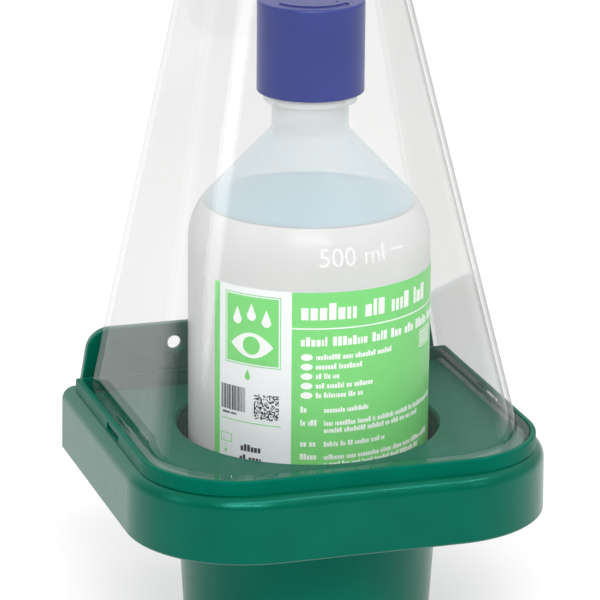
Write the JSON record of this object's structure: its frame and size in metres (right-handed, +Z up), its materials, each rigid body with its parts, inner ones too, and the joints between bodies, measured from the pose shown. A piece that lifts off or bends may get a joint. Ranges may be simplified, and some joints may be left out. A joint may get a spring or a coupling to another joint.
{
  "type": "wall-mounted eyewash station",
  "caption": "Bracket tray with a deep tapered cup that holds a round saline bottle with a twist cap under a clear tapered lift-off cover.",
  "frame": {"origin": "centre of the bounding box's bottom face, on the surface that the cup stands on", "axes": "+Z up along the bottle, +Y towards the wall that the screw plate lies against, +X to the right seen from the front"},
  "size_m": [0.1326, 0.118, 0.212],
  "materials": {
    "green_textured": "fine spark-eroded moulding texture with satin sheen",
    "green_smooth": "smooth moulded gloss",
    "clear_cover": "clear polished plastic",
    "natural_plastic": "translucent natural blow-moulded plastic",
    "saline": "clear liquid",
    "label_film": "printed film with white and green panels",
    "white_plastic": "satin moulded plastic",
    "blue_cap": "fine matt moulding texture"
  },
  "bodies": {
    "station": {"wall_bracket": "green_textured", "tray": "green_smooth", "bottle_cup": "green_smooth"},
    "bottle": {"bottle_body": "natural_plastic", "saline": "saline", "label": "label_film", "nozzle": "white_plastic"},
    "seal": {"break_off_tip": "white_plastic"},
    "cap": {"cap": "blue_cap"},
    "cover": {"cover": "clear_cover", "cover_snap_tabs": "clear_cover"}
  },
  "joints": [
    {"name": "bottle_lift", "type": "slide", "parent": "station", "child": "bottle", "axis": [0, 0, 1], "range_m": [0, 0.08]},
    {"name": "cover_lift", "type": "slide", "parent": "bottle", "child": "cover", "axis": [0, 0, 1], "range_m": [0, 0.15], "deforming": ["cover_snap_tabs"]},
    {"name": "cap_rise", "type": "slide", "parent": "bottle", "child": "seal", "axis": [0, 0, 1], "range_m": [0, 0.00601]},
    {"name": "cap_twist", "type": "hinge", "parent": "seal", "child": "cap", "pos_m": [0, 0.006, 0.18], "axis": [0, 0, 1], "range_deg": [0, 720]}
  ],
  "couplings": [
    {"joint": "cap_rise", "follows": "cap_twist", "m_per_rad": 0.00047746}
  ]
}
